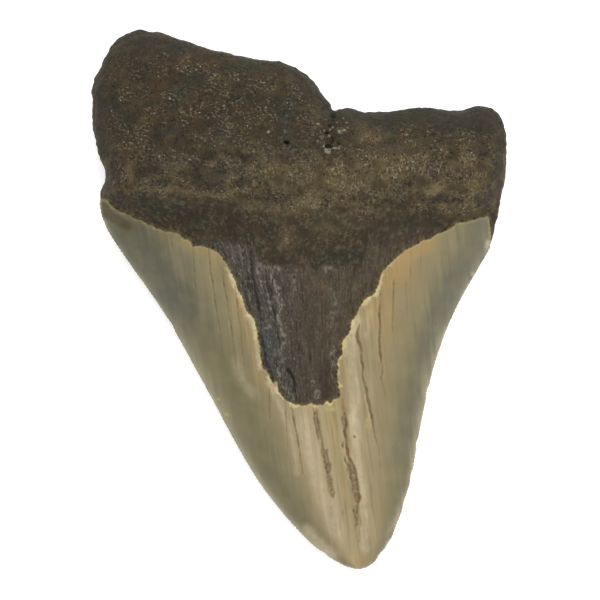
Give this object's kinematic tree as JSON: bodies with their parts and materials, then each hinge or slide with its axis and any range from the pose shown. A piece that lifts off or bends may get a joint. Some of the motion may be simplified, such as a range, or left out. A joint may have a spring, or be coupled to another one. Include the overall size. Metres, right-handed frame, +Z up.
{
  "type": "fossil megalodon tooth",
  "caption": "Large fossil shark tooth with a broad two-lobed root and a triangular enamel crown, lying with its inner face up.",
  "frame": {"origin": "on the surface that the tooth lies on, under the middle of its outline", "axes": "+Z up, out of the inner face; +Y from the tip towards the root; +X to the right with the root away from the viewer"},
  "size_m": [0.0886, 0.1152, 0.0243],
  "materials": {
    "fossil_tooth": "dull dark brown mineralised bone on the root, satin grey-tan enamel on the crown"
  },
  "bodies": {
    "root": {"tooth": "fossil_tooth"}
  },
  "joints": []
}
